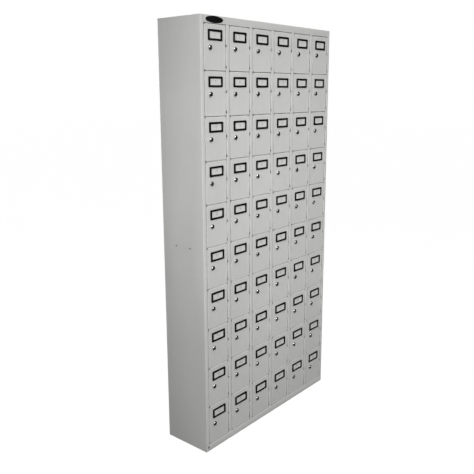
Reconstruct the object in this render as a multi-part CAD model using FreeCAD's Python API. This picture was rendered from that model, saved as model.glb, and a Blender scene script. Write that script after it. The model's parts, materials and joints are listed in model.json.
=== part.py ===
import FreeCAD, Part
import math
import os

from FreeCAD import Vector

# A bank of small lockers in folded sheet steel, each with a barrel-hinged, cam-locked door.
# Millimetres. X runs to the right, Y to the back and Z up.
# The origin is at the middle of the footprint, on the floor.

# The cabinet
cabinet_width = 900.0
cabinet_depth = 230.0
cabinet_height = 1800.0
column_count = 6
row_count = 10
sheet = 0.8
stile_width = 19.5
post_width = 21.0
header_height = 29.0
plinth_height = 29.0
rear_flange = 15.0
shelf_lip = 10.0
stop_lip = 4.0
stop_gap = 0.4

# The doors
door_gap = 2.0
door_depth = 12.0
corner_relief = 3.5

# The label holder on each door, and the card in it
label_width = 81.0
label_height = 41.0
label_thick = 3.0
label_bar = 8.0
label_side_bar = 9.5
label_corner = 4.0
label_drop = 40.0
card_thick = 0.4
card_margin = 3.0
card_play = 0.4

# The cam lock of each door
lock_inset = 31.0
lock_drop = 87.0
bezel_radius = 10.0
bezel_proud = 6.5
bezel_round = 3.6
barrel_radius = 7.9
lock_play = 0.1
nut_flats = 20.0
nut_thick = 4.0
plug_radius = 5.4
plug_play = 0.05
plug_recess = 0.3
keyway_width = 1.6
keyway_height = 7.0
keyway_depth = 3.0
tail_side = 7.0
cam_gap = 0.8
cam_thick = 2.0
cam_width = 13.0
cam_play = 0.1
cam_tip_gap = 1.0
cam_lift = 0.2
screw_head_radius = 4.5
screw_head_thick = 2.2
screw_radius = 2.0
screw_length = 6.0

# The two barrel hinges of each door
hinge_spacing = 80.0
hinge_length = 53.0
knuckle_radius = 2.75
knuckle_lift = 0.3
knuckle_play = 0.3
knuckle_cap = 2.0
pin_radius = 1.75
pin_play = 0.05
pin_end_gap = 0.5
tab_depth = 9.0
tab_inset = 1.5
relief_height = 9.0
relief_width = 4.0
relief_depth = 5.0

# The bare oval badge on the header
badge_width = 100.0
badge_height = 26.0
badge_thick = 1.2
badge_rim = 2.0
badge_recess = 0.3
badge_from_left = 80.0

# Holes for bolting cabinets side by side, and the slot at the foot of the left stile
gang_hole_radius = 3.3
gang_hole_spacing = 80.0
gang_hole_height = 892.0
slot_width = 8.0
slot_length = 12.0
slot_from_edge = 6.0
slot_height = 18.0

# Doors that hang alone, then doors that share a node: the first and last row of each
door_sets = [(1, 1), (2, 2), (3, 3), (4, 4), (5, 5), (6, 7), (8, 10)]
# Rows whose locks are nodes of their own
lock_rows = [1]

# Sizes that follow from those above
bend_radius = 0.75 * sheet
opening_width = (cabinet_width - 2 * stile_width - (column_count - 1) * post_width) / column_count
column_pitch = opening_width + post_width
door_width = opening_width - 2 * door_gap
doors_height = cabinet_height - header_height - plinth_height
door_height = (doors_height - (row_count + 1) * door_gap) / row_count
row_pitch = door_height + door_gap
stop_depth = door_depth + stop_gap + sheet
cam_front = stop_depth + cam_gap
cam_back = cam_front + cam_thick
cam_reach = lock_inset + door_gap - cam_tip_gap
knuckle_length = (hinge_length - knuckle_play) / 2
hinge_tab = door_gap / 2
axis_x = door_width + door_gap / 2
axis_y = -(knuckle_radius + knuckle_lift)
proud = max(knuckle_radius - axis_y, bezel_proud, label_thick, badge_thick)
lock_x = lock_inset
lock_z = door_height - lock_drop
window_width = label_width - 2 * label_side_bar
window_height = label_height - 2 * label_bar

# Planes of the cabinet
left = -cabinet_width / 2
right = cabinet_width / 2
front = -(cabinet_depth - proud) / 2
back = front + cabinet_depth
top = cabinet_height


def column_left(column):
    """The left edge of a column's door opening."""
    return left + stile_width + (column - 1) * column_pitch


def door_corner(column, row):
    """The lower left front corner of a door, where the shapes of one door have their zero."""
    z = top - header_height - row * row_pitch
    return Vector(column_left(column) + door_gap, front, z)


def post_middle(column):
    """The middle of the post to the right of a column."""
    return column_left(column) + opening_width + post_width / 2


def cell_walls(column):
    """The inner faces of the two sheets beside a column's compartments."""
    inner_left = left + sheet
    inner_right = right - sheet
    if column > 1:
        inner_left = post_middle(column - 1) + sheet / 2
    if column < column_count:
        inner_right = post_middle(column) - sheet / 2
    return inner_left, inner_right


def block(x0, x1, y0, y1, z0, z1):
    return Part.makeBox(x1 - x0, y1 - y0, z1 - z0, Vector(x0, y0, z0))


def rod(radius, x, z, y0, y1):
    """A round bar along Y."""
    return Part.makeCylinder(radius, y1 - y0, Vector(x, y0, z), Vector(0, 1, 0))


def stake(radius, x, y, z0, z1):
    """A round bar along Z."""
    return Part.makeCylinder(radius, z1 - z0, Vector(x, y, z0), Vector(0, 0, 1))


def folded(plates):
    """Flat plates of one sheet, joined at their folds."""
    return plates[0].fuse(plates[1:]).removeSplitter().Solids[0]


def edges_along(shape, direction, places):
    """The straight edges along one axis that pass through any of the places on the two other axes."""
    found = []
    for edge in shape.Edges:
        if len(edge.Vertexes) != 2:
            continue
        start = edge.Vertexes[0].Point
        run = edge.Vertexes[1].Point - start
        if run.cross(direction).Length > 1e-6:
            continue
        across = start - direction * start.dot(direction)
        if any((across - place).Length < 1e-6 for place in places):
            found.append(edge)
    return found


def rounded(shape, direction, places, radius):
    """The shape with those edges rounded."""
    return shape.makeFillet(radius, edges_along(shape, direction, places)).Solids[0]


def side_sheet():
    """The left side's flat sheet, with the holes for bolting a neighbour on."""
    sheet_solid = block(left, left + sheet, front, back, 0, top - sheet)
    bends = [Vector(left, front, 0), Vector(left, back, 0)]
    sheet_solid = rounded(sheet_solid, Vector(0, 0, 1), bends, bend_radius)
    for side in (-1, 1):
        y = (front + back) / 2 + side * gang_hole_spacing / 2
        start = Vector(left - sheet, y, gang_hole_height)
        hole = Part.makeCylinder(gang_hole_radius, 3 * sheet, start, Vector(1, 0, 0))
        sheet_solid = sheet_solid.cut(hole)
    return sheet_solid.Solids[0]


def stile():
    """The strip at the front of the left side: stile, return beside the doors and door stop."""
    edge = left + stile_width
    y_lip = front + stop_depth - sheet
    strip = folded([
        block(left + sheet, edge, front, front + sheet, 0, top - sheet),
        block(edge - sheet, edge, front, front + stop_depth, 0, top - sheet),
        block(
            edge - sheet, edge + stop_lip, y_lip, front + stop_depth, plinth_height, top - header_height,
        ),
    ])
    return rounded(strip, Vector(0, 0, 1), [Vector(edge, front, 0)], bend_radius)


def slotted_stile():
    """The stile with the upright slot at its foot."""
    x = left + stile_width - slot_from_edge
    reach = (slot_length - slot_width) / 2
    y0 = front - sheet
    y1 = front + 2 * sheet
    slot = block(x - slot_width / 2, x + slot_width / 2, y0, y1, slot_height - reach, slot_height + reach)
    for end in (-1, 1):
        slot = slot.fuse(rod(slot_width / 2, x, slot_height + end * reach, y0, y1))
    return stile().cut(slot).Solids[0]


def side_flanges():
    """The strips that stiffen the left side at the back and at the floor."""
    x0 = left + sheet
    return [
        block(x0, left + rear_flange, back - sheet, back, 0, top - sheet),
        block(x0, left + stile_width - sheet, front + sheet, back - sheet, 0, sheet),
    ]


def left_side_panel():
    return [side_sheet(), slotted_stile()] + side_flanges()


def hinge_reliefs(column):
    """Blocks for the open notches under a column's hinges, in the frame's front corner."""
    x = column_left(column) + opening_width
    blocks = []
    for row in range(1, row_count + 1):
        for foot in hinge_feet():
            z = door_corner(column, row).z + foot
            blocks.append(block(x, x + relief_width, front, front + relief_depth, z - relief_height, z))
    return blocks


def right_side_panel():
    """The left side mirrored, with no slot, and with the notches under the last column's hinges."""
    shapes = [side_sheet(), stile()] + side_flanges()
    mirrored = [shape.mirror(Vector(0, 0, 0), Vector(1, 0, 0)).Solids[0] for shape in shapes]
    sheet_solid, strip, *flanges = mirrored
    strip = strip.cut(hinge_reliefs(column_count)).Solids[0]
    return [sheet_solid, strip] + flanges


def top_panel():
    """Top sheet over the sides, the header strip with its return over the doors, and a rear flange."""
    x0 = left + stile_width
    x1 = right - stile_width
    foot = top - header_height
    under_top = top - sheet
    along = Vector(1, 0, 0)
    top_sheet = rounded(block(left, right, front, back, under_top, top), along,
                        [Vector(0, front, top), Vector(0, back, top)], bend_radius)
    header = folded([
        block(x0, x1, front, front + sheet, foot, under_top),
        block(x0, x1, front, front + stop_depth, foot, foot + sheet),
    ])
    header = rounded(header, along, [Vector(0, front, foot)], bend_radius)
    flange = block(
        left + rear_flange, right - rear_flange, back - sheet, back, top - rear_flange, under_top)
    return [top_sheet, header, flange]


def base_panel():
    """Floor of the lowest row, and strips at its front and back with their feet turned in."""
    x0 = left + stile_width
    x1 = right - stile_width
    y1 = back - sheet
    under_floor = plinth_height - sheet
    along = Vector(1, 0, 0)
    floor = folded([
        block(x0, x1, front, y1, under_floor, plinth_height),
        block(left + sheet, right - sheet, front + stop_depth, y1, under_floor, plinth_height),
    ])
    floor = rounded(floor, along, [Vector(0, front, plinth_height)], bend_radius)
    plinth = folded([
        block(x0, x1, front, front + sheet, 0, under_floor),
        block(x0, x1, front, front + stile_width, 0, sheet),
    ])
    plinth = rounded(plinth, along, [Vector(0, front, 0)], bend_radius)
    rear_strip = folded([
        block(x0, x1, y1 - sheet, y1, 0, under_floor),
        block(x0, x1, y1 - stile_width, y1, 0, sheet),
    ])
    return [floor, plinth, rear_strip]


def back_panel():
    return block(left + sheet, right - sheet, back - 2 * sheet, back - sheet, plinth_height, top - sheet)


def column_partition(column):
    """The sheet behind a post, notched at the top around the header's return."""
    x0 = post_middle(column) - sheet / 2
    x1 = x0 + sheet
    y1 = back - 2 * sheet
    return folded([
        block(x0, x1, front + sheet, y1, plinth_height, top - header_height),
        block(x0, x1, front + stop_depth, y1, plinth_height, top - sheet),
    ])


def front_post(column):
    """A hat section whose two lips stop the doors on both sides of it."""
    x0 = column_left(column) + opening_width
    x1 = x0 + post_width
    y_lip = front + stop_depth - sheet
    y1 = front + stop_depth
    foot = plinth_height
    head = top - header_height
    post = folded([
        block(x0, x1, front, front + sheet, foot, head),
        block(x0, x0 + sheet, front, y1, foot, head),
        block(x1 - sheet, x1, front, y1, foot, head),
        block(x0 - stop_lip, x0 + sheet, y_lip, y1, foot, head),
        block(x1 - sheet, x1 + stop_lip, y_lip, y1, foot, head),
    ])
    post = rounded(post, Vector(0, 0, 1), [Vector(x0, front, 0), Vector(x1, front, 0)], bend_radius)
    return post.cut(hinge_reliefs(column)).Solids[0]


def shelf(column, row):
    """The shelf under a row, with its front lip turned down behind the door below."""
    x0, x1 = cell_walls(column)
    z = door_corner(column, row).z - door_gap / 2
    y0 = front + stop_depth + stop_gap
    y1 = back - 2 * sheet
    return folded([
        block(x0, x1, y0, y1, z - sheet / 2, z + sheet / 2),
        block(x0, x1, y0, y0 + sheet, z + sheet / 2 - shelf_lip, z + sheet / 2),
    ])


def oval(width, height, y0, y1, x, z):
    """An upright oval plate that faces the front."""
    curve = Part.Ellipse(Vector(x, y0, z), width / 2, height / 2)
    ring = curve.toShape()
    ring.rotate(Vector(x, y0, z), Vector(1, 0, 0), 90)
    return Part.Face(Part.Wire(ring)).extrude(Vector(0, y1 - y0, 0))


def badge_plate():
    """An oval plate with a raised rim, bare inside it."""
    x = left + badge_from_left
    z = top - header_height / 2
    face = front - badge_thick
    plate = oval(badge_width, badge_height, face, front, x, z)
    inner_width = badge_width - 2 * badge_rim
    inner_height = badge_height - 2 * badge_rim
    hollow = oval(inner_width, inner_height, face - badge_recess, face + badge_recess, x, z)
    return plate.cut(hollow).Solids[0]


def door_leaf():
    """A tray folded from one sheet, open to the back and at its corners, with the lock's hole."""
    leaf = block(0, door_width, 0, door_depth, 0, door_height)
    for direction, places in (
        (Vector(1, 0, 0), [Vector(0, 0, 0), Vector(0, 0, door_height)]),
        (Vector(0, 0, 1), [Vector(0, 0, 0), Vector(door_width, 0, 0)]),
    ):
        leaf = rounded(leaf, direction, places, bend_radius)
    leaf = leaf.cut(block(sheet, door_width - sheet, sheet, 2 * door_depth, sheet, door_height - sheet))
    for x in (0, door_width - corner_relief):
        for z in (0, door_height - corner_relief):
            leaf = leaf.cut(block(x, x + corner_relief, 0, door_depth, z, z + corner_relief))
    return leaf.cut(rod(barrel_radius + lock_play, lock_x, lock_z, -sheet, 2 * sheet)).Solids[0]


def label_plate(width, height, y0, y1):
    """An upright block centred where the label is."""
    x = door_width / 2
    z = door_height - label_drop
    return block(x - width / 2, x + width / 2, y0, y1, z - height / 2, z + height / 2)


def label_holder():
    """A moulded frame with a window, and a pocket behind its bars for the card."""
    x = door_width / 2
    z = door_height - label_drop
    frame = label_plate(label_width, label_height, -label_thick, 0)
    corners = []
    for side in (-1, 1):
        for end in (-1, 1):
            corners.append(Vector(x + side * label_width / 2, 0, z + end * label_height / 2))
    frame = rounded(frame, Vector(0, 1, 0), corners, label_corner)
    frame = frame.cut(label_plate(window_width, window_height, -2 * label_thick, label_thick))
    pocket_width = window_width + 2 * (card_margin + card_play)
    pocket_height = window_height + 2 * (card_margin + card_play)
    pocket = label_plate(pocket_width, pocket_height, -card_thick - card_play, label_thick)
    return frame.cut(pocket).Solids[0]


def label_card():
    width = window_width + 2 * card_margin
    height = window_height + 2 * card_margin
    return label_plate(width, height, -card_thick, 0)


def lock_housing():
    """A chromed bezel on the door's face with its barrel through the leaf, bored for the plug."""
    bezel = rod(bezel_radius, lock_x, lock_z, -bezel_proud, 0)
    rim = [edge for edge in bezel.Edges if abs(edge.BoundBox.YMax + bezel_proud) < 1e-6]
    bezel = bezel.makeFillet(bezel_round, rim)
    barrel = rod(barrel_radius, lock_x, lock_z, 0, cam_front - cam_lift)
    bore = rod(plug_radius + plug_play, lock_x, lock_z, -2 * bezel_proud, 2 * cam_front)
    return bezel.fuse(barrel).cut(bore).Solids[0]


def lock_nut():
    """A hexagon nut that clamps the barrel from behind the leaf."""
    corner = nut_flats / math.sqrt(3)
    points = []
    for k in range(7):
        turn = math.radians(60 * k)
        points.append(Vector(lock_x + corner * math.cos(turn), sheet, lock_z + corner * math.sin(turn)))
    nut = Part.Face(Part.makePolygon(points)).extrude(Vector(0, nut_thick, 0))
    return nut.cut(rod(barrel_radius + lock_play, lock_x, lock_z, 0, 2 * sheet + nut_thick)).Solids[0]


def lock_plug():
    """The part that the key turns, with its keyway, the square tail for the cam and a screw hole."""
    face = plug_recess - bezel_proud
    plug = rod(plug_radius, lock_x, lock_z, face, cam_front)
    half = tail_side / 2
    square = block(lock_x - half, lock_x + half, cam_front, cam_back, lock_z - half, lock_z + half)
    plug = plug.fuse(square)
    x0 = lock_x - keyway_width / 2
    z0 = lock_z - keyway_height / 2
    slot = block(x0, x0 + keyway_width, face - keyway_depth, face + keyway_depth, z0, z0 + keyway_height)
    hole_end = cam_back - screw_length - lock_play
    hole = rod(screw_radius + lock_play, lock_x, lock_z, hole_end, cam_back + sheet)
    return plug.cut(slot).cut(hole).Solids[0]


def lock_cam():
    """A flat cam that hangs down unlocked, and turns a quarter turn behind the stop lip to lock."""
    cam = rod(cam_width / 2, lock_x, lock_z, cam_front, cam_back)
    half = cam_width / 2
    cam = cam.fuse(block(lock_x - half, lock_x + half, cam_front, cam_back, lock_z - cam_reach, lock_z))
    hole = tail_side / 2 + cam_play
    square = block(lock_x - hole, lock_x + hole, cam_front - sheet, cam_back + sheet,
                   lock_z - hole, lock_z + hole)
    return cam.removeSplitter().cut(square).Solids[0]


def cam_screw():
    head = rod(screw_head_radius, lock_x, lock_z, cam_back, cam_back + screw_head_thick)
    return head.fuse(rod(screw_radius, lock_x, lock_z, cam_back - screw_length, cam_back)).Solids[0]


def hinge_feet():
    """The lower ends of a door's two hinges."""
    middle = door_height / 2
    return [middle + side * hinge_spacing / 2 - hinge_length / 2 for side in (-1, 1)]


def knuckle(foot, tab_left, bore_from, bore_to):
    """Half a barrel with the tab that is welded into the gap beside the door."""
    head = foot + knuckle_length
    root = (knuckle_radius + pin_radius + pin_play) / 2
    barrel = stake(knuckle_radius, axis_x, axis_y, foot, head)
    tab_right = tab_left + hinge_tab
    tab = block(tab_left, tab_right, axis_y + root, tab_depth, foot + tab_inset, head - tab_inset)
    bore = stake(pin_radius + pin_play, axis_x, axis_y, bore_from, bore_to)
    return barrel.fuse(tab).cut(bore).Solids[0]


def door_knuckles():
    """The upper half of each hinge, closed at its top."""
    shapes = []
    for foot in hinge_feet():
        foot += knuckle_length + knuckle_play
        shapes.append(knuckle(foot, door_width, foot - knuckle_play, foot + knuckle_length - knuckle_cap))
    return shapes


def frame_knuckles():
    """The lower half of each hinge, closed at its foot, where the pin stands."""
    shapes = []
    for foot in hinge_feet():
        shapes.append(knuckle(foot, axis_x, foot + knuckle_cap, foot + knuckle_length + knuckle_play))
    return shapes


def hinge_pins():
    pins = []
    for foot in hinge_feet():
        head = foot + hinge_length - knuckle_cap - pin_end_gap
        pins.append(stake(pin_radius, axis_x, axis_y, foot + knuckle_cap, head))
    return pins


def placed(shapes, corner):
    """Copies of one door's shapes, moved to a door's corner."""
    copies = []
    for shape in shapes:
        twin = shape.copy()
        twin.translate(corner)
        copies.append(twin)
    return copies


def save(node, shapes):
    """One file for a node, with each of its solids."""
    shape = shapes[0] if len(shapes) == 1 else Part.makeCompound(shapes)
    shape.exportStep(os.path.join("parts", node + ".step"))
    volume = sum(solid.Volume for solid in shape.Solids)
    print(f"{node}: {len(shape.Solids)} solids, {volume / 1000:.1f} cm3, valid {shape.isValid()}")


os.makedirs("parts", exist_ok=True)
columns = range(1, column_count + 1)
rows = range(1, row_count + 1)
inner_columns = range(1, column_count)

save("left_side_panel", left_side_panel())
save("right_side_panel", right_side_panel())
save("top_panel", top_panel())
save("base_panel", base_panel())
save("back_panel", [back_panel()])
save("column_partitions", [column_partition(column) for column in inner_columns])
save("front_posts", [front_post(column) for column in inner_columns])
save("compartment_shelves", [shelf(column, row) for column in columns for row in rows[:-1]])
save("badge_plate", [badge_plate()])

every_door = [door_corner(column, row) for column in columns for row in rows]
frame_halves = frame_knuckles()
pins = hinge_pins()
save("hinge_frame_knuckles", [shape for corner in every_door for shape in placed(frame_halves, corner)])
save("hinge_pins", [shape for corner in every_door for shape in placed(pins, corner)])

fixed_pieces = [door_leaf(), label_holder(), label_card(), lock_housing(), lock_nut()] + door_knuckles()
turning_pieces = [lock_plug(), lock_cam(), cam_screw()]
for column in columns:
    for first, last in door_sets:
        pieces = []
        for row in range(first, last + 1):
            corner = door_corner(column, row)
            pieces += placed(fixed_pieces, corner)
            if row in lock_rows:
                save(f"lock_r{row:02d}_c{column}", placed(turning_pieces, corner))
            else:
                pieces += placed(turning_pieces, corner)
        name = f"doors_r{first:02d}_r{last:02d}_c{column}"
        if first == last:
            name = f"door_r{first:02d}_c{column}"
        save(name, pieces)

print(f"door {door_width:.2f} by {door_height:.2f}")
print(f"column pitch {column_pitch:.2f}, row pitch {row_pitch:.2f}")
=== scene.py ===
import json
import math

import bmesh
import bpy
from mathutils import Matrix, Vector

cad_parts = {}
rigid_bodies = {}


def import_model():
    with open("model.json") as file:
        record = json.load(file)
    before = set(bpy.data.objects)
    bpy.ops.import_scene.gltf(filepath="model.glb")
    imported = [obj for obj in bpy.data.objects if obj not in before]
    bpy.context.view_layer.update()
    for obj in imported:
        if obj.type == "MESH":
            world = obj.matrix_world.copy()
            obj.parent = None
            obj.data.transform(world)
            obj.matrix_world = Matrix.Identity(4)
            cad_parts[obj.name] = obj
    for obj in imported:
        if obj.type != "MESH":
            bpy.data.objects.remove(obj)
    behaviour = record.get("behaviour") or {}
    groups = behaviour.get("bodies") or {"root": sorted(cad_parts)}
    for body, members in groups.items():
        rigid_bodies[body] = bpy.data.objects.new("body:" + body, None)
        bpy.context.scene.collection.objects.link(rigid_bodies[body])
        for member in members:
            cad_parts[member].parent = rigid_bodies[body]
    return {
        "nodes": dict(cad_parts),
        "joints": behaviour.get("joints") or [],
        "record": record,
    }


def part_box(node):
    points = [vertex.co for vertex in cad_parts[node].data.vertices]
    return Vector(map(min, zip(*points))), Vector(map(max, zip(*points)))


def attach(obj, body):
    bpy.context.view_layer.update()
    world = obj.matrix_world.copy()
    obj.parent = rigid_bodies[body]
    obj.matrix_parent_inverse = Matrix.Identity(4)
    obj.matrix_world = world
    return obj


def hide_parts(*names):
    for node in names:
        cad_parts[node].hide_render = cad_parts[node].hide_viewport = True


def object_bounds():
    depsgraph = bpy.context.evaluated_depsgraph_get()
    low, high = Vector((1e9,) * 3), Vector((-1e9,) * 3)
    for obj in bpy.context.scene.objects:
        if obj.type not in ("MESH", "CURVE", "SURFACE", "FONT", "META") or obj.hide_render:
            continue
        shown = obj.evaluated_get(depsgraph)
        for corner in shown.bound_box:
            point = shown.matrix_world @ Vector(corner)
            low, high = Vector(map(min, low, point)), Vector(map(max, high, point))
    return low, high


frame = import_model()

# A bank of small lockers in grey painted sheet steel. Metres: X runs to the right, Y to the back and Z up.

cad_low, cad_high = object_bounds()
bpy.ops.object.select_all(action="DESELECT")
record = frame["record"]

# The cabinet's sheet metal
sheet = 0.0008
bend = 0.0016
bend_steps = 3
cut_edge = 0.0002
edge_steps = 2
stile_width = 0.0195
post_width = 0.021
header_height = 0.029
plinth_height = 0.029
rear_flange = 0.015
stop_depth = 0.0132
stop_lip = 0.004
slot_width = 0.008
slot_length = 0.012
slot_from_edge = 0.006
slot_height = 0.018
slot_round = 0.49 * slot_width
slot_steps = 5
hole_sides = 24
cut_through = 3 * sheet

# The doors
door_gap = 0.002
door_width = 0.122
door_height = 0.172
door_depth = 0.012
corner_relief = 0.0035
row_pitch = door_height + door_gap
rub_band = 0.0025

# The label holder on each door, its card and the number on the card
label_width = 0.081
label_height = 0.041
label_thick = 0.003
label_bar = 0.008
label_side_bar = 0.0095
label_corner = 0.004
label_corner_steps = 4
label_inner_corner = 0.001
label_edge = 0.0007
label_drop = 0.040
card_thick = 0.0004
card_pocket = 0.0008
card_margin = 0.003
card_play = 0.0004
card_edge = 0.0001
number_height = 0.016
number_thick = 0.00004
number_steps = 3

# The cam lock of each door
lock_inset = 0.031
lock_drop = 0.087
lock_sides = 28
bezel_radius = 0.010
bezel_proud = 0.0065
bezel_round = 0.0036
bezel_steps = 4
bezel_land = 0.0003
bezel_dish = 0.0004
dish_depth = 0.0002
barrel_radius = 0.0079
barrel_end = 0.0138
thread_turns = 6
thread_depth = 0.0006
thread_start = 0.0050
plug_radius = 0.0054
plug_bore = 0.00545
plug_recess = 0.0003
plug_edge = 0.0004
keyway_width = 0.0016
keyway_height = 0.007
keyway_depth = 0.003
nut_sides = 6
nut_flats = 0.020
nut_thick = 0.004
nut_edge = 0.0006
cam_front = 0.014
cam_thick = 0.002
cam_width = 0.013
cam_reach = 0.032
cam_end_round = 0.99 * cam_width / 2
cam_end_steps = 6
cam_tip_round = 0.0025
cam_tip_steps = 3
cam_edge = 0.0003
screw_sides = 20
screw_head_radius = 0.0045
screw_head_thick = 0.0022
screw_round = 0.0012
screw_steps = 3
screw_slot = 0.0011
screw_slot_reach = 0.65 * screw_head_radius

# The two barrel hinges of each door
hinge_spacing = 0.080
hinge_length = 0.053
knuckle_radius = 0.00275
knuckle_lift = 0.0003
knuckle_play = 0.0003
knuckle_sides = 12
knuckle_edge = 0.0005
knuckle_steps = 1
tab_depth = 0.009
tab_inset = 0.0015
tab_root = 0.002275
relief_height = 0.009
relief_width = 0.004
relief_depth = 0.005

# The bare oval badge on the header
badge_sides = 72
badge_rim = 0.002
badge_rim_round = 0.0004
badge_recess = 0.0003
badge_dome_steps = [(0.86, 0.00012), (0.72, 0.00008), (0.5, 0.00005)]

# The camera, at the photograph's viewing angle
camera_place = (-2.1925, -1.7634, 1.5106)
camera_heading = -49.741
camera_tilt = 12.014
camera_roll = -0.258
camera_lens = 46.965
camera_shift = -0.0253
sensor_width = 36.0

# The finishes' patterns, in spots to the metre, and how far the scratches are drawn out
paint_drift = 2.6
paint_cloud = 38.0
paint_nibs = 620.0
paint_patches = 95.0
paint_peel = 780.0
metal_cloud = 210.0
metal_scratches = 900.0
scratch_stretch = (1.0, 1.0, 0.06)
plastic_marks = 120.0
plastic_grain = 1500.0

# The floor, and the room that lights the object, which brightens from dim towards one side
white = (1, 1, 1, 1)
floor_size = 60
floor_tone = (0.06, 0.06, 0.06, 1)
floor_roughness = 0.9
floor_specular = 0.1
floor_glow = 0.96
room_bright_side = (-0.70, -0.30, 0.65)
room_dim_from = -0.2
room_bright_from = 0.95
room_dim = 0.0
room_bright = 1.10

# Each lamp's name, place, aim, size, power in watts and spread in degrees
lamps = [
    ("key", (-0.9, -4.0, 3.4), (-0.05, -0.1, 1.03), (1.5, 1.5), 12.7, 44),
    ("left_fill", (-3.6, -0.6, 2.4), (-0.45, 0.0, 1.25), (0.9, 0.9), 2.06, 38),
    ("right_fill", (3.4, 1.0, 2.2), (0.45, 0.0, 1.0), (1.2, 1.2), 14, 110),
    ("back_fill", (0.6, 4.2, 2.6), (0.0, 0.12, 1.0), (2.0, 2.0), 30, 110),
]

# Places that follow from the frame
left, front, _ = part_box("left_side_panel")[0]
right, back, top = cad_high
opening_foot = plinth_height
opening_head = top - header_height
under_top = top - sheet
lip_front = front + stop_depth - sheet
knuckle_length = (hinge_length - knuckle_play) / 2
axis_x = door_width + door_gap / 2
axis_y = -(knuckle_radius + knuckle_lift)
lock_x = lock_inset
lock_z = door_height - lock_drop
label_x = door_width / 2
label_z = door_height - label_drop
window_width = label_width - 2 * label_side_bar
window_height = label_height - 2 * label_bar
card_room = card_margin + card_play

# How near is near enough when faces and edges are picked, with angles in radians
small = 1e-6
aligned = 0.9
straight = 0.999
sharp_angle = 0.5
soft_angle = math.radians(50)


def hinge_joints():
    """The joints that doors swing on, with each door body's name, rows and column."""
    found = []
    for joint in frame["joints"]:
        words = joint["child"].split("_")
        if words[0] in ("door", "doors"):
            rows = range(int(words[1][1:]), int(words[-2][1:]) + 1)
            found.append((joint["child"], Vector(joint["pos_m"]), rows, int(words[-1][1:])))
    return found


def door_corner(hinge, rows, row):
    """The lower left front corner of one of the doors that swing together."""
    middle = (rows[0] + rows[-1]) / 2
    foot = hinge.z - door_height / 2 - (row - middle) * row_pitch
    return Vector((hinge.x - axis_x, front, foot))


door_bodies = hinge_joints()
column_count = max(column for *_, column in door_bodies)


# Modelling steps


def select_only(piece):
    bpy.ops.object.select_all(action="DESELECT")
    piece.select_set(True)
    bpy.context.view_layer.objects.active = piece


def start_edit(piece):
    select_only(piece)
    bpy.ops.object.mode_set(mode="EDIT")


def end_edit():
    bpy.ops.object.mode_set(mode="OBJECT")


def pick(piece, kind, wanted):
    """In edit mode, selects the faces or edges that the test wants, and nothing else."""
    bpy.ops.mesh.select_mode(type=kind)
    bpy.ops.mesh.select_all(action="DESELECT")
    mesh = bmesh.from_edit_mesh(piece.data)
    for part in mesh.faces if kind == "FACE" else mesh.edges:
        if wanted(part):
            part.select_set(True)
    mesh.select_flush_mode()
    bmesh.update_edit_mesh(piece.data)


def facing(axis, sign, place=None):
    """A test for flat faces that look along an axis, at a place on it if one is given."""
    def wanted(face):
        middle = face.calc_center_median()[axis]
        return face.normal[axis] * sign > aligned and (place is None or abs(middle - place) < small)
    return wanted


def sharp_at(axis, place):
    """A test for edges in a plane across an axis, where two faces meet at an angle."""
    def wanted(edge):
        if any(abs(vert.co[axis] - place) > small for vert in edge.verts):
            return False
        return len(edge.link_faces) == 2 and edge.calc_face_angle() > sharp_angle
    return wanted


def along(axis):
    """A test for edges that run along an axis."""
    def wanted(edge):
        run = edge.verts[1].co - edge.verts[0].co
        return abs(run[axis]) > straight * run.length
    return wanted


def extrude(shift):
    bpy.ops.mesh.extrude_region_move(TRANSFORM_OT_translate={"value": shift})


def inset(width):
    bpy.ops.mesh.inset(thickness=width, use_even_offset=True)


def bevel(width, steps):
    bpy.ops.mesh.bevel(offset=width, offset_type="OFFSET", segments=steps, affect="EDGES")


def shrink(factor, center):
    """Draws the selection towards a line along Y."""
    bpy.ops.transform.resize(value=(factor, 1, factor), center_override=center)


def widen(factor, center):
    """Stretches the selection along X."""
    bpy.ops.transform.resize(value=(factor, 1, 1), center_override=center)


def settle(piece, name):
    """Names a new piece and puts its place, turn and scale into its mesh."""
    piece.name = name
    piece.data.name = name
    bpy.ops.object.transform_apply(location=True, rotation=True, scale=True)
    return piece


def block(name, low, high):
    low = Vector(low)
    high = Vector(high)
    bpy.ops.mesh.primitive_cube_add(size=1, location=(low + high) / 2)
    bpy.context.object.scale = high - low
    return settle(bpy.context.object, name)


def rod(name, radius, start, end, sides):
    start = Vector(start)
    run = Vector(end) - start
    turn = run.to_track_quat("Z", "Y").to_euler()
    bpy.ops.mesh.primitive_cylinder_add(
        vertices=sides, radius=radius, depth=run.length, location=start + run / 2, rotation=turn)
    return settle(bpy.context.object, name)


def finish_with(piece, kind, **settings):
    """Adds a modifier and applies it."""
    select_only(piece)
    modifier = piece.modifiers.new(kind.lower(), kind)
    for name, value in settings.items():
        setattr(modifier, name, value)
    bpy.ops.object.modifier_apply(modifier=modifier.name)


def cut(piece, cutter):
    """Takes the cutter's shape out of the piece."""
    finish_with(piece, "BOOLEAN", object=cutter, operation="DIFFERENCE", solver="EXACT")
    bpy.data.objects.remove(cutter)


def soften(piece, width):
    """Takes the edge off wherever two faces meet sharply."""
    finish_with(piece, "BEVEL", width=width, segments=1, limit_method="ANGLE", angle_limit=soft_angle)


def join(name, pieces):
    """Makes one piece of several."""
    joined = pieces[0]
    select_only(joined)
    for piece in pieces:
        piece.select_set(True)
    if len(pieces) > 1:
        bpy.ops.object.join()
    joined.name = name
    joined.data.name = name
    return joined


def smooth(piece, angle=40):
    select_only(piece)
    bpy.ops.object.shade_smooth_by_angle(angle=math.radians(angle))
    return piece


def outward(piece):
    """Merges doubles and turns every face of a closed piece outwards."""
    start_edit(piece)
    bpy.ops.mesh.select_all(action="SELECT")
    bpy.ops.mesh.remove_doubles(threshold=small)
    bpy.ops.mesh.normals_make_consistent(inside=False)
    end_edit()


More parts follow.
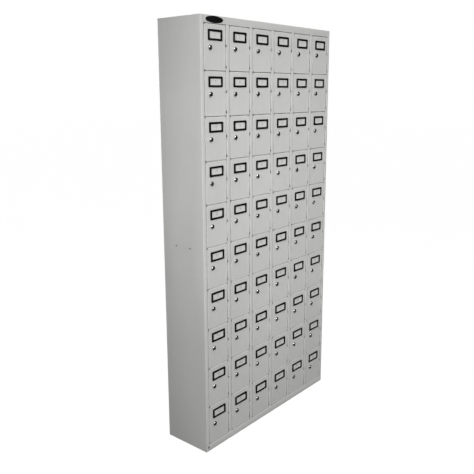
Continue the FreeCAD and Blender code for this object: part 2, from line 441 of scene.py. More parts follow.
def twin(piece, name, shift):
    """A copy with its own mesh, moved by a shift."""
    mesh = piece.data.copy()
    mesh.transform(Matrix.Translation(shift))
    mesh.name = name
    copy = bpy.data.objects.new(name, mesh)
    bpy.context.scene.collection.objects.link(copy)
    return copy


def folded(name, corners, low, high, axis):
    """A sheet folded at its corners, drawn on its outer face with the thickness on the left of its run.
    Along Z the corners are x and y, and along X they are y and z."""
    def at(corner, height):
        u, v = corner
        return Vector((u, v, height)) if axis == 2 else Vector((height, u, v))

    start = at(corners[0], low)
    run = at(corners[1], low) - start
    rise = at(corners[0], high) - start
    turn = Matrix((run.normalized(), rise.normalized(), run.cross(rise).normalized())).transposed()
    bpy.ops.mesh.primitive_plane_add(size=1, location=start + (run + rise) / 2, rotation=turn.to_euler())
    bpy.context.object.scale = (run.length, rise.length, 1)
    strip = settle(bpy.context.object, name)

    def on(corner):
        spot = at(corner, 0)

        def wanted(edge):
            gaps = [vert.co - spot for vert in edge.verts]
            return all(abs(gap[k]) < small for gap in gaps for k in range(3) if k != axis)
        return wanted

    start_edit(strip)
    pick(strip, "EDGE", on(corners[1]))
    for corner, after in zip(corners[1:], corners[2:]):
        extrude(at(after, 0) - at(corner, 0))
    folds = [on(corner) for corner in corners[1:-1]]
    if folds:
        pick(strip, "EDGE", lambda edge: any(fold(edge) for fold in folds))
        bevel(bend, bend_steps)
    end_edit()
    finish_with(strip, "SOLIDIFY", thickness=sheet, offset=-1, use_even_offset=True)
    soften(strip, cut_edge)
    return strip


# The cabinet


def gang_hole_cutters(mount_name):
    """Rods through a side where a neighbouring cabinet is bolted on."""
    mount = next(mount for mount in record["mounts"] if mount["name"] == mount_name)
    place = Vector(mount["pos_m"])
    radius = mount["dims"]["hole_r_mm"] / 1000
    step = mount["dims"]["spacing_x_mm"] / 1000
    through = Vector((stile_width / 2, 0, 0))
    cutters = []
    for side in (-1, 1):
        middle = place + Vector((0, side * step / 2, 0))
        cutters.append(rod("hole", radius, middle - through, middle + through, hole_sides))
    return cutters


def slot_cutter():
    """A round-ended upright slot at the foot of the left stile."""
    x = left + stile_width - slot_from_edge
    low = (x - slot_width / 2, front - sheet, slot_height - slot_length / 2)
    high = (x + slot_width / 2, front + cut_through, slot_height + slot_length / 2)
    cutter = block("slot", low, high)
    start_edit(cutter)
    pick(cutter, "EDGE", along(1))
    bevel(slot_round, slot_steps)
    end_edit()
    return cutter


def hinge_relief_cutter(column):
    """Blocks for the notches under a column's hinges, where their frame knuckles are welded on."""
    blocks = []
    for _, hinge, rows, its_column in door_bodies:
        if its_column != column:
            continue
        edge = hinge.x + door_gap / 2
        for row in rows:
            for which in (-1, 1):
                head = door_corner(hinge, rows, row).z + hinge_foot(which)
                low = (edge - sheet, front - sheet, head - relief_height)
                high = (edge + relief_width, front + relief_depth, head)
                blocks.append(block("relief", low, high))
    return join("reliefs", blocks)


def side_panel(name, outer, inward, mount_name):
    """A side: rear flange, side, stile and its return in one fold, with the door stop and the foot strip.
    outer is the side's outer plane, and inward is 1 on the left and -1 on the right."""
    edge = outer + inward * stile_width
    run = [(outer + inward * rear_flange, back), (outer, back), (outer, front),
           (edge, front), (edge, lip_front)]
    stop = [(edge - inward * sheet, lip_front), (edge + inward * stop_lip, lip_front)]
    foot_x = sorted((outer + inward * sheet, edge - inward * sheet))
    if inward < 0:
        run.reverse()
        stop.reverse()
    panel = folded(name, run, 0, under_top, 2)
    for cutter in gang_hole_cutters(mount_name):
        cut(panel, cutter)
    if inward > 0:
        cut(panel, slot_cutter())
    else:
        cut(panel, hinge_relief_cutter(column_count))
    lip = folded("stop", stop, opening_foot, opening_head, 2)
    foot = folded("foot", [(front + sheet, 0), (back - sheet, 0)], *foot_x, 0)
    return smooth(join(name, [panel, lip, foot]))


def top_cover():
    """Top sheet over the sides, the header with its return over the doors, and a rear flange."""
    cover = folded("top", [(back, top), (front, top)], left, right, 0)
    header_run = [(front, under_top), (front, opening_head), (front + stop_depth, opening_head)]
    header = folded("header", header_run, left + stile_width, right - stile_width, 0)
    flange_run = [(back, top - rear_flange), (back, under_top)]
    flange = folded("flange", flange_run, left + rear_flange, right - rear_flange, 0)
    return smooth(join("top_cover", [cover, header, flange]))


def base():
    """Floor of the lowest row, the plinth in front, the strip at the back and their feet in one fold."""
    rear = back - sheet
    run = [(rear - stile_width, 0), (rear, 0), (rear, plinth_height),
           (front, plinth_height), (front, 0), (front + stile_width, 0)]
    strips = [folded("base", run, left + stile_width, right - stile_width, 0)]
    beside = [(rear, plinth_height), (front + stop_depth, plinth_height)]
    for x0, x1 in ((left + sheet, left + stile_width), (right - stile_width, right - sheet)):
        strips.append(folded("base_end", beside, x0, x1, 0))
    return smooth(join("base", strips))


def posts():
    """Hat sections between the columns, whose lips stop the doors on both sides."""
    first = next(hinge for _, hinge, _, column in door_bodies if column == 1)
    second = next(hinge for _, hinge, _, column in door_bodies if column == 2)
    x0 = first.x + door_gap / 2
    x1 = x0 + post_width
    run = [(x0 - stop_lip, lip_front), (x0, lip_front), (x0, front),
           (x1, front), (x1, lip_front), (x1 + stop_lip, lip_front)]
    post = folded("post", run, opening_foot, opening_head, 2)
    cut(post, hinge_relief_cutter(1))
    smooth(post)
    pitch = second.x - first.x
    others = [twin(post, "post", Vector((k * pitch, 0, 0))) for k in range(1, column_count - 1)]
    return join("posts", [post] + others)


def badge():
    """An oval plate with a raised rim and a slightly domed, bare face."""
    low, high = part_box("badge_plate")
    middle = (low + high) / 2
    bpy.ops.mesh.primitive_circle_add(
        vertices=badge_sides, radius=0.5, fill_type="NGON", location=(middle.x, high.y, middle.z),
        rotation=(math.pi / 2, 0, 0))
    bpy.context.object.scale = (high.x - low.x, high.z - low.z, 1)
    plate = settle(bpy.context.object, "badge")
    start_edit(plate)
    bpy.ops.mesh.select_all(action="SELECT")
    extrude((0, low.y - high.y, 0))
    bpy.ops.mesh.select_mode(type="FACE")
    inset(badge_rim)
    extrude((0, badge_recess, 0))
    for factor, rise in badge_dome_steps:
        extrude((0, -rise, 0))
        shrink(factor, middle)
    pick(plate, "EDGE", sharp_at(1, low.y))
    bevel(badge_rim_round, edge_steps)
    end_edit()
    outward(plate)
    return smooth(plate)


# The pieces of one door, with their zero at its lower left front corner


def hinge_foot(which):
    """The lower end of a door's lower hinge (-1) or upper hinge (1)."""
    return door_height / 2 + which * hinge_spacing / 2 - hinge_length / 2


def knuckle(name, foot, tab_left):
    """Half a barrel with rounded rims, and the tab that is welded into the gap beside the door."""
    head = foot + knuckle_length
    barrel = rod(name, knuckle_radius, (axis_x, axis_y, foot), (axis_x, axis_y, head), knuckle_sides)
    start_edit(barrel)
    pick(barrel, "EDGE", lambda edge: any(sharp_at(2, z)(edge) for z in (foot, head)))
    bevel(knuckle_edge, knuckle_steps)
    end_edit()
    low = (tab_left, axis_y + tab_root, foot + tab_inset)
    high = (tab_left + door_gap / 2, tab_depth, head - tab_inset)
    tab = block("tab", low, high)
    soften(tab, cut_edge)
    return smooth(join(name, [barrel, tab]))


def frame_knuckle_pair():
    """The lower half of each hinge, on the cabinet's side of the gap."""
    pair = [knuckle("frame_knuckle", hinge_foot(which), axis_x) for which in (-1, 1)]
    return join("frame_knuckle", pair)


def door_knuckle_pair():
    """The upper half of each hinge, on the door's side of the gap."""
    rise = knuckle_length + knuckle_play
    pair = [knuckle("door_knuckle", hinge_foot(which) + rise, door_width) for which in (-1, 1)]
    return join("door_knuckle", pair)


def corner_cutter():
    """Blocks that open the four corners of a leaf, where its folds meet."""
    blocks = []
    for x in (-sheet, door_width - corner_relief):
        for z in (-sheet, door_height - corner_relief):
            reach = corner_relief + sheet
            blocks.append(block("corner", (x, -sheet, z), (x + reach, door_depth + sheet, z + reach)))
    return join("corners", blocks)


def leaf():
    """A tray folded from one sheet, open to the back, with the lock's hole."""
    tray = block("leaf", (0, 0, 0), (door_width, door_depth, door_height))
    start_edit(tray)
    pick(tray, "FACE", facing(1, 1))
    bpy.ops.mesh.delete(type="FACE")
    pick(tray, "EDGE", lambda edge: min(vert.co.y for vert in edge.verts) < small)
    bevel(bend, bend_steps)
    pick(tray, "FACE", facing(1, -1, 0))
    inset(rub_band)
    end_edit()
    finish_with(tray, "SOLIDIFY", thickness=sheet, offset=-1, use_even_offset=True)
    hole_front = (lock_x, -sheet, lock_z)
    hole_back = (lock_x, cut_through, lock_z)
    cut(tray, rod("hole", barrel_radius + cut_edge, hole_front, hole_back, hole_sides))
    cut(tray, corner_cutter())
    return smooth(tray)


def label_block(name, width, height, y0, y1):
    """A block on the middle of the label's place."""
    low = (label_x - width / 2, y0, label_z - height / 2)
    high = (label_x + width / 2, y1, label_z + height / 2)
    return block(name, low, high)


def label_holder():
    """A moulded frame: a window in front, and behind its bars a pocket for the card."""
    centre = (label_x, 0, label_z)
    rear_rim = label_bar - card_room
    window = window_width * window_height
    outer = label_width / 2 - label_bar / 2
    inner = window_width / 2

    def is_window(face):
        return abs(face.calc_area() - window) < small and abs(face.normal.y) > aligned

    def off_middle(edge):
        return abs(edge.verts[0].co.x - label_x)

    holder = label_block("label_holder", label_width, label_height, -label_thick, 0)
    start_edit(holder)
    pick(holder, "FACE", facing(1, 1))
    inset(rear_rim)
    widen((window_width + 2 * card_room) / (label_width - 2 * rear_rim), centre)
    extrude((0, -card_pocket, 0))
    inset(card_room)
    pick(holder, "FACE", facing(1, -1))
    inset(label_bar)
    widen(window_width / (label_width - 2 * label_bar), centre)
    pick(holder, "FACE", is_window)
    bpy.ops.mesh.bridge_edge_loops()
    pick(holder, "EDGE", lambda edge: along(1)(edge) and off_middle(edge) > outer)
    bevel(label_corner, label_corner_steps)
    pick(holder, "EDGE", lambda edge: along(1)(edge) and abs(off_middle(edge) - inner) < small)
    bevel(label_inner_corner, edge_steps)
    pick(holder, "EDGE", sharp_at(1, -label_thick))
    bevel(label_edge, edge_steps)
    end_edit()
    outward(holder)
    return smooth(holder)


def label_card():
    """A card that reaches under the holder's bars on all sides."""
    width = window_width + 2 * card_margin
    height = window_height + 2 * card_margin
    card = label_block("card", width, height, -card_thick, 0)
    soften(card, card_edge)
    return card


def card_number(number):
    """A plain number, printed in the middle of a card."""
    bpy.ops.object.text_add(location=(label_x, -card_thick, label_z), rotation=(math.pi / 2, 0, 0))
    words = bpy.context.object
    words.data.body = str(number)
    words.data.size = number_height
    words.data.align_x = "CENTER"
    words.data.align_y = "CENTER"
    words.data.resolution_u = number_steps
    words.data.extrude = number_thick
    bpy.ops.object.convert(target="MESH")
    digits = settle(bpy.context.object, "number")
    outward(digits)
    return digits


def lock_housing():
    """A domed bezel on the door's face, its threaded barrel through the leaf, and the bore for the plug."""
    centre = (lock_x, 0, lock_z)
    housing = rod("lock", bezel_radius, (lock_x, 0, lock_z), (lock_x, -bezel_proud, lock_z), lock_sides)
    start_edit(housing)
    pick(housing, "FACE", facing(1, -1, -bezel_proud))
    inset(bezel_round + bezel_land)
    inset(bezel_dish)
    bpy.ops.transform.translate(value=(0, dish_depth, 0))
    inset(bezel_radius - bezel_round - bezel_land - bezel_dish - plug_bore)
    pick(housing, "FACE", facing(1, 1, 0))
    inset(bezel_radius - barrel_radius)
    extrude((0, thread_start, 0))
    step = (barrel_end - thread_start) / (2 * thread_turns)
    root = 1 - thread_depth / barrel_radius
    for _ in range(thread_turns):
        extrude((0, step, 0))
        shrink(root, centre)
        extrude((0, step, 0))
        shrink(1 / root, centre)
    inset(barrel_radius - plug_bore)
    bore_area = 0.5 * lock_sides * plug_bore ** 2 * math.sin(2 * math.pi / lock_sides)
    pick(housing, "FACE", lambda face: len(face.verts) == lock_sides and face.calc_area() < 1.5 * bore_area)
    bpy.ops.mesh.bridge_edge_loops()
    pick(housing, "EDGE", sharp_at(1, -bezel_proud))
    bevel(bezel_round, bezel_steps)
    end_edit()
    outward(housing)
    return smooth(housing)


def lock_nut():
    """A hexagon nut behind the leaf."""
    corner = nut_flats / math.sqrt(3)
    nut = rod("nut", corner, (lock_x, sheet, lock_z), (lock_x, sheet + nut_thick, lock_z), nut_sides)
    start_edit(nut)
    pick(nut, "FACE", lambda face: abs(face.normal.y) > aligned)
    bpy.ops.mesh.inset(thickness=nut_flats / 2 - barrel_radius, use_even_offset=True, use_individual=True)
    bpy.ops.mesh.bridge_edge_loops()
    end_edit()
    outward(nut)
    soften(nut, nut_edge)
    return smooth(nut, 30)


def lock_plug():
    """The part that the key turns: a round face with a keyway, and the tail that carries the cam."""
    face = plug_recess - bezel_proud
    plug = rod("plug", plug_radius, (lock_x, face, lock_z), (lock_x, cam_front, lock_z), lock_sides)
    start_edit(plug)
    pick(plug, "EDGE", sharp_at(1, face))
    bevel(plug_edge, edge_steps)
    end_edit()
    low = (lock_x - keyway_width / 2, face - keyway_depth, lock_z - keyway_height / 2)
    high = (lock_x + keyway_width / 2, face + keyway_depth, lock_z + keyway_height / 2)
    cut(plug, block("keyway", low, high))
    return smooth(plug)


def lock_cam():
    """A flat cam with a round end at the plug, hanging down unlocked."""
    half = cam_width / 2
    low = (lock_x - half, cam_front, lock_z - cam_reach)
    high = (lock_x + half, cam_front + cam_thick, lock_z + half)
    cam = block("cam", low, high)
    start_edit(cam)
    pick(cam, "EDGE", lambda edge: along(1)(edge) and edge.verts[0].co.z > lock_z)
    bevel(cam_end_round, cam_end_steps)
    pick(cam, "EDGE", lambda edge: along(1)(edge) and edge.verts[0].co.z < lock_z - cam_reach + small)
    bevel(cam_tip_round, cam_tip_steps)
    end_edit()
    soften(cam, cam_edge)
    return smooth(cam)


def cam_screw():
    """A round-headed screw with a cross recess, which holds the cam on the plug."""
    seat = cam_front + cam_thick
    crown = seat + screw_head_thick
    screw = rod("screw", screw_head_radius, (lock_x, seat, lock_z), (lock_x, crown, lock_z), screw_sides)
    start_edit(screw)
    pick(screw, "EDGE", sharp_at(1, crown))
    bevel(screw_round, screw_steps)
    end_edit()
    for dx, dz in ((screw_slot_reach, screw_slot / 2), (screw_slot / 2, screw_slot_reach)):
        low = (lock_x - dx, crown - screw_slot, lock_z - dz)
        high = (lock_x + dx, crown + screw_slot, lock_z + dz)
        cut(screw, block("recess", low, high))
    return smooth(screw)


# Finishes


def new_node(tree, kind, **values):
    """A node with values set on its sockets, or on itself where it has no socket of that name."""
    node = tree.nodes.new(kind)
    for name, value in values.items():
        if name in node.inputs:
            node.inputs[name].default_value = value
        else:
            setattr(node, name, value)
    return node


def new_group(name, inputs, outputs):
    """An empty shader group with named sockets, and its input and output nodes."""
    group = bpy.data.node_groups.new(name, "ShaderNodeTree")
    for in_out, sockets in (("INPUT", inputs), ("OUTPUT", outputs)):
        for label, kind in sockets:
            group.interface.new_socket(name=label, in_out=in_out, socket_type="NodeSocket" + kind)
    return group, group.nodes.new("NodeGroupInput"), group.nodes.new("NodeGroupOutput")


def spots(tree, scale, detail=2.0, roughness=0.5, stretch=(1, 1, 1)):
    """Noise that follows the piece, with so many spots to the metre."""
    place = new_node(tree, "ShaderNodeTexCoord")
    mapping = new_node(tree, "ShaderNodeMapping")
    mapping.inputs["Scale"].default_value = stretch
    noise = new_node(tree, "ShaderNodeTexNoise", Scale=scale, Detail=detail, Roughness=roughness)
    tree.links.new(place.outputs["Object"], mapping.inputs["Vector"])
    tree.links.new(mapping.outputs["Vector"], noise.inputs["Vector"])
    return noise.outputs["Fac"]


def feed(tree, socket, source):
    """Links another node's output to a socket, or sets a plain value on it."""
    if isinstance(source, bpy.types.NodeSocket):
        tree.links.new(source, socket)
    else:
        socket.default_value = source


def between(tree, value, low, high, to_low, to_high):
    """The value carried from one range to another, and held inside it."""
    node = new_node(tree, "ShaderNodeMapRange", clamp=True)
    for name, source in (("From Min", low), ("From Max", high), ("To Min", to_low), ("To Max", to_high)):
        feed(tree, node.inputs[name], source)
    tree.links.new(value, node.inputs["Value"])
    return node.outputs["Result"]


def maths(tree, operation, first, second):
    node = new_node(tree, "ShaderNodeMath", operation=operation)
    feed(tree, node.inputs[0], first)
    feed(tree, node.inputs[1], second)
    return node.outputs["Value"]


def blended(tree, mask, first, second):
    """One colour over another where the mask is."""
    node = new_node(tree, "ShaderNodeMix", data_type="RGBA")
    tree.links.new(mask, node.inputs["Factor"])
    for name, source in (("A", first), ("B", second)):
        socket = next(each for each in node.inputs if each.name == name and each.type == "RGBA")
        feed(tree, socket, source)
    return next(each for each in node.outputs if each.type == "RGBA")


def powder_coat_group():
    """Powder coat: a tone that drifts over the sheet, orange peel, dust nibs and slightly rubbed edges."""
    group, given, made = new_group(
        "powder_coat",
        [("Fresh", "Color"), ("Deep", "Color"), ("Rubbed", "Color"), ("Rub", "Float")],
        [("Colour", "Color"), ("Roughness", "Float"), ("Height", "Float")])
    link = group.links.new
    drift = between(group, spots(group, paint_drift, detail=4.0, roughness=0.55), 0.36, 0.64, 0.0, 1.0)
    cloud = between(group, spots(group, paint_cloud, detail=3.0, roughness=0.6), 0.3, 0.7, 0.0, 0.35)
    tone = maths(group, "ADD", maths(group, "MULTIPLY", drift, 0.65), cloud)
    colour = blended(group, tone, given.outputs["Fresh"], given.outputs["Deep"])
    nibs = between(group, spots(group, paint_nibs, detail=1.0, roughness=0.4), 0.70, 0.76, 0.0, 0.3)
    colour = blended(group, nibs, colour, given.outputs["Deep"])
    edge = new_node(group, "ShaderNodeAttribute", attribute_name="rub")
    patchy = between(group, spots(group, paint_patches, detail=3.0, roughness=0.65), 0.42, 0.62, 0.0, 1.0)
    worn = maths(group, "MULTIPLY", edge.outputs["Fac"], patchy)
    rub = maths(group, "MULTIPLY", worn, given.outputs["Rub"])
    colour = blended(group, rub, colour, given.outputs["Rubbed"])
    peel = spots(group, paint_peel, detail=2.0, roughness=0.45)
    link(colour, made.inputs["Colour"])
    link(between(group, maths(group, "ADD", peel, cloud), 0.3, 1.1, 0.36, 0.52), made.inputs["Roughness"])
    link(maths(group, "ADD", peel, maths(group, "MULTIPLY", nibs, 1.5)), made.inputs["Height"])
    return group


def bright_metal_group():
    """Plated metal: a slight cloud in the tone, fine scratches and handling marks in the shine."""
    group, given, made = new_group(
        "bright_metal",
        [("Clean", "Color"), ("Dull", "Color"), ("Least", "Float"), ("Most", "Float")],
        [("Colour", "Color"), ("Roughness", "Float"), ("Height", "Float")])
    link = group.links.new
    cloud = between(group, spots(group, metal_cloud, detail=3.0, roughness=0.6), 0.35, 0.7, 0.0, 1.0)
    scratches = spots(group, metal_scratches, detail=3.0, roughness=0.6, stretch=scratch_stretch)
    link(blended(group, cloud, given.outputs["Clean"], given.outputs["Dull"]), made.inputs["Colour"])
    marks = maths(group, "MULTIPLY", maths(group, "ADD", cloud, scratches), 0.5)
    shine = between(group, marks, 0.2, 0.8, given.outputs["Least"], given.outputs["Most"])
    link(shine, made.inputs["Roughness"])
    link(scratches, made.inputs["Height"])
    return group


def moulded_group():
    """Moulded plastic: a fine grain, faint handling marks and a little dust."""
    group, given, made = new_group(
        "moulded_plastic",
        [("Body", "Color"), ("Dusty", "Color"), ("Least", "Float"), ("Most", "Float")],
        [("Colour", "Color"), ("Roughness", "Float"), ("Height", "Float")])
    link = group.links.new
    marks = spots(group, plastic_marks, detail=4.0, roughness=0.6)
    dust = between(group, marks, 0.45, 0.8, 0.0, 0.6)
    link(blended(group, dust, given.outputs["Body"], given.outputs["Dusty"]), made.inputs["Colour"])
    shine = between(group, marks, 0.3, 0.7, given.outputs["Least"], given.outputs["Most"])
    link(shine, made.inputs["Roughness"])
    link(spots(group, plastic_grain, detail=2.0, roughness=0.5), made.inputs["Height"])
    return group


def finish_from(name, group, bump, relief, metallic=0.0, specular=0.5, **values):
    """A material whose colour, roughness and relief come from a group with its own values."""
    material = bpy.data.materials.new(name)
    material.use_nodes = True
    tree = material.node_tree
    tree.nodes.clear()
    pattern = new_node(tree, "ShaderNodeGroup", node_tree=group)
    for label, value in values.items():
        pattern.inputs[label].default_value = value
    shader = new_node(tree, "ShaderNodeBsdfPrincipled")
    shader.inputs["Metallic"].default_value = metallic
    shader.inputs["Specular IOR Level"].default_value = specular
    relief_node = new_node(tree, "ShaderNodeBump", Strength=bump, Distance=relief)
    output = new_node(tree, "ShaderNodeOutputMaterial")
    tree.links.new(pattern.outputs["Colour"], shader.inputs["Base Color"])
    tree.links.new(pattern.outputs["Roughness"], shader.inputs["Roughness"])
    tree.links.new(pattern.outputs["Height"], relief_node.inputs["Height"])
    tree.links.new(relief_node.outputs["Normal"], shader.inputs["Normal"])
    tree.links.new(shader.outputs["BSDF"], output.inputs["Surface"])
    return material


powder_coat = powder_coat_group()
bright_metal = bright_metal_group()
moulded_plastic = moulded_group()

cabinet_paint = finish_from(
    "cabinet_paint", powder_coat, bump=0.25, relief=0.00008, specular=0.4,
    Fresh=(0.600, 0.602, 0.588, 1), Deep=(0.555, 0.557, 0.545, 1), Rubbed=(0.70, 0.70, 0.69, 1), Rub=0.5)
door_paint = finish_from(
    "door_paint", powder_coat, bump=0.25, relief=0.00008, specular=0.4,
    Fresh=(0.585, 0.586, 0.570, 1), Deep=(0.540, 0.541, 0.528, 1), Rubbed=(0.70, 0.70, 0.69, 1), Rub=0.6)
# The hinges take a lighter copy of the grey paint: painted light that lifts the shade on the sides of their
# barrels.
hinge_paint = finish_from(
    "hinge_paint", powder_coat, bump=0.3, relief=0.00008, specular=0.45,
    Fresh=(0.645, 0.645, 0.635, 1), Deep=(0.585, 0.585, 0.575, 1), Rubbed=(0.47, 0.47, 0.47, 1), Rub=0.7)
chrome = finish_from(
    "chrome", bright_metal, bump=0.05, relief=0.00002, metallic=1.0,
    Clean=(0.54, 0.54, 0.55, 1), Dull=(0.46, 0.46, 0.47, 1), Least=0.15, Most=0.29)
zinc = finish_from(
    "zinc_plate", bright_metal, bump=0.15, relief=0.00003, metallic=1.0,
    Clean=(0.66, 0.67, 0.68, 1), Dull=(0.50, 0.51, 0.51, 1), Least=0.28, Most=0.5)
pin_steel = finish_from(
    "pin_steel", bright_metal, bump=0.1, relief=0.00002, metallic=1.0,
    Clean=(0.56, 0.56, 0.57, 1), Dull=(0.42, 0.42, 0.42, 1), Least=0.25, Most=0.45)
holder_plastic = finish_from(
    "holder_plastic", moulded_plastic, bump=0.15, relief=0.00003, specular=0.22,
    Body=(0.0025, 0.0025, 0.0028, 1), Dusty=(0.008, 0.008, 0.008, 1), Least=0.38, Most=0.55)
badge_enamel = finish_from(
    "badge_enamel", moulded_plastic, bump=0.05, relief=0.00002, specular=0.2,
    Body=(0.003, 0.003, 0.0033, 1), Dusty=(0.009, 0.009, 0.009, 1), Least=0.34, Most=0.5)
card_paper = finish_from(
    "card_paper", moulded_plastic, bump=0.2, relief=0.00003, specular=0.2,
    Body=(0.585, 0.585, 0.575, 1), Dusty=(0.53, 0.53, 0.515, 1), Least=0.75, Most=0.9)
card_ink = finish_from(
    "card_ink", moulded_plastic, bump=0.05, relief=0.00001, specular=0.25,
    Body=(0.30, 0.30, 0.305, 1), Dusty=(0.40, 0.40, 0.40, 1), Least=0.6, Most=0.8)


def coat(piece, material):
    piece.data.materials.clear()
    piece.data.materials.append(material)
    return piece


def mark_rubbed_edges(piece, touched):
    """Marks, for the paint, how far each vertex is a rubbed edge."""
    layer = piece.data.attributes.new("rub", "FLOAT", "POINT")
    for vert in piece.data.vertices:
        layer.data[vert.index].value = touched(vert.co)


def front_edge_of_leaf(point):
    """1 on the folded rim round a leaf's face and 0 elsewhere."""
    inside_x = min(point.x, door_width - point.x)
    inside_z = min(point.z, door_height - point.z)
    return 1.0 if min(inside_x, inside_z) < bend + small and point.y < bend + small else 0.0


# The dressed cabinet


def dress(piece, body, slot, *nodes):
    """Lets a piece ride on a body and hides the solids that it stands for. The slot is not used."""
    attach(piece, body)
    if nodes:
        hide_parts(*nodes)


root = "cabinet"
left_side = coat(side_panel("left_side", left, 1, "left_gang_holes"), cabinet_paint)
right_side = coat(side_panel("right_side", right, -1, "right_gang_holes"), cabinet_paint)
dress(left_side, root, "cabinet_paint", "left_side_panel")
dress(right_side, root, "cabinet_paint", "right_side_panel")
dress(coat(top_cover(), cabinet_paint), root, "cabinet_paint", "top_panel")
dress(coat(base(), cabinet_paint), root, "cabinet_paint", "base_panel")
dress(coat(posts(), cabinet_paint), root, "cabinet_paint", "front_posts")
dress(coat(badge(), badge_enamel), root, "black_plastic", "badge_plate")
for name in ("back_panel", "column_partitions", "compartment_shelves"):
    coat(frame["nodes"][name], cabinet_paint)
coat(frame["nodes"]["hinge_pins"], pin_steel)

# One of each piece of a door
door_knuckles = coat(door_knuckle_pair(), hinge_paint)
leaf_tray = coat(leaf(), door_paint)
mark_rubbed_edges(leaf_tray, front_edge_of_leaf)
leaf_model = join("leaf", [leaf_tray, door_knuckles])
holder_model = coat(label_holder(), holder_plastic)
card_model = coat(label_card(), card_paper)
housing_model = join("lock", [coat(lock_housing(), chrome), coat(lock_nut(), zinc)])
turning_pieces = [coat(lock_plug(), chrome), coat(lock_cam(), zinc), coat(cam_screw(), zinc)]
turning_model = join("turning", turning_pieces)
knuckle_model = coat(frame_knuckle_pair(), hinge_paint)

# A copy of each for every door
turning_bodies = {
    joint["parent"]: joint["child"] for joint in frame["joints"] if joint["child"].startswith("lock")}
frame_knuckles = []
for body, hinge, rows, column in door_bodies:
    corners = [door_corner(hinge, rows, row) for row in rows]
    leaves = [twin(leaf_model, "leaf", corner) for corner in corners]
    dress(join(f"{body}_leaf", leaves), body, "door_paint", body)
    holders = [twin(holder_model, "label_holder", corner) for corner in corners]
    dress(join(f"{body}_label_holder", holders), body, "black_plastic")
    cards = []
    for row, corner in zip(rows, corners):
        number = coat(card_number((row - 1) * column_count + column), card_ink)
        cards += [twin(card_model, "card", corner), twin(number, "number", corner)]
        bpy.data.objects.remove(number)
    dress(join(f"{body}_card", cards), body, None)
    locks = [twin(housing_model, "lock", corner) for corner in corners]
    turning = [twin(turning_model, "turning", corner) for corner in corners]
    if body in turning_bodies:
        turner = turning_bodies[body]
        dress(join(f"{turner}_plug", turning), turner, "lock_chrome", turner)
    else:
        locks += turning
    dress(join(f"{body}_lock", locks), body, "lock_chrome")
    frame_knuckles += [twin(knuckle_model, "frame_knuckle", corner) for corner in corners]
dress(join("frame_knuckles", frame_knuckles), root, "hinge_paint", "hinge_frame_knuckles")
for model in (leaf_model, holder_model, card_model, housing_model, turning_model, knuckle_model):
    bpy.data.objects.remove(model)


# Floor, light and camera


def pale_floor():
    """A floor that is pale to the eye and gives little light back, with painted shade under the cabinet,
    where its glow is switched off.
    """
    bpy.ops.mesh.primitive_plane_add(size=floor_size, location=(0, 0, 0))
    floor = bpy.context.object
    floor.name = "floor"
    material = bpy.data.materials.new("pale_floor")
    material.use_nodes = True
    tree = material.node_tree
    shader = tree.nodes["Principled BSDF"]
    shader.inputs["Base Color"].default_value = floor_tone
    shader.inputs["Roughness"].default_value = floor_roughness
    shader.inputs["Specular IOR Level"].default_value = floor_specular
    shader.inputs["Emission Color"].default_value = white
    path = new_node(tree, "ShaderNodeLightPath")
    place = new_node(tree, "ShaderNodeTexCoord")
    parts = new_node(tree, "ShaderNodeSeparateXYZ")
    tree.links.new(place.outputs["Object"], parts.inputs["Vector"])
    # Painted shade: the floor's glow is switched off within the cabinet's footprint.
    off_middle_x = maths(tree, "ABSOLUTE", parts.outputs["X"], 0.0)
    off_middle_y = maths(tree, "ABSOLUTE", parts.outputs["Y"], 0.0)
    within_width = maths(tree, "LESS_THAN", off_middle_x, right - sheet)
    within_depth = maths(tree, "LESS_THAN", off_middle_y, -front - sheet)
    outside_painted_shade = maths(tree, "SUBTRACT", 1.0, maths(tree, "MULTIPLY", within_width, within_depth))
    seen = maths(tree, "MULTIPLY", path.outputs["Is Camera Ray"], floor_glow)
    tree.links.new(maths(tree, "MULTIPLY", seen, outside_painted_shade), shader.inputs["Emission Strength"])
    floor.data.materials.append(material)


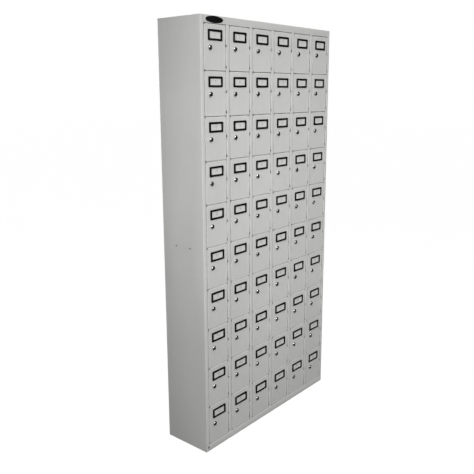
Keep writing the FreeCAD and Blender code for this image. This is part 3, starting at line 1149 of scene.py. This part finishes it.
def soft_light(name, place, target, size, watts, spread):
    lamp = bpy.data.lights.new(name, "AREA")
    lamp.shape = "RECTANGLE"
    lamp.size, lamp.size_y = size
    lamp.energy = watts
    lamp.spread = math.radians(spread)
    light = bpy.data.objects.new(name, lamp)
    bpy.context.scene.collection.objects.link(light)
    light.location = place
    light.rotation_euler = (Vector(target) - Vector(place)).to_track_quat("-Z", "Y").to_euler()


def studio():
    """White behind the object, and for its light a room that is bright on one side and dim elsewhere."""
    world = bpy.data.worlds.new("studio")
    bpy.context.scene.world = world
    world.use_nodes = True
    tree = world.node_tree
    tree.nodes.clear()
    place = new_node(tree, "ShaderNodeTexCoord")
    towards = new_node(tree, "ShaderNodeVectorMath", operation="DOT_PRODUCT")
    towards.inputs[1].default_value = room_bright_side
    tree.links.new(place.outputs["Generated"], towards.inputs[0])
    room = between(tree, towards.outputs["Value"], room_dim_from, room_bright_from, room_dim, room_bright)
    ambient = new_node(tree, "ShaderNodeBackground")
    tree.links.new(room, ambient.inputs["Strength"])
    backdrop = new_node(tree, "ShaderNodeBackground", Color=white, Strength=1.0)
    path = new_node(tree, "ShaderNodeLightPath")
    mix = new_node(tree, "ShaderNodeMixShader")
    output = new_node(tree, "ShaderNodeOutputWorld")
    tree.links.new(path.outputs["Is Camera Ray"], mix.inputs["Fac"])
    tree.links.new(ambient.outputs["Background"], mix.inputs[1])
    tree.links.new(backdrop.outputs["Background"], mix.inputs[2])
    tree.links.new(mix.outputs["Shader"], output.inputs["Surface"])


def photograph_camera():
    data = bpy.data.cameras.new("camera")
    data.sensor_width = sensor_width
    data.lens = camera_lens
    data.shift_y = camera_shift
    camera = bpy.data.objects.new("camera", data)
    bpy.context.scene.collection.objects.link(camera)
    heading = Matrix.Rotation(math.radians(camera_heading), 4, "Z")
    tilt = Matrix.Rotation(math.radians(90 - camera_tilt), 4, "X")
    roll = Matrix.Rotation(math.radians(camera_roll), 4, "Z")
    camera.matrix_world = Matrix.Translation(camera_place) @ heading @ tilt @ roll
    bpy.context.scene.camera = camera


pale_floor()
studio()
for lamp_settings in lamps:
    soft_light(*lamp_settings)
photograph_camera()
bpy.context.scene.view_settings.view_transform = "Standard"
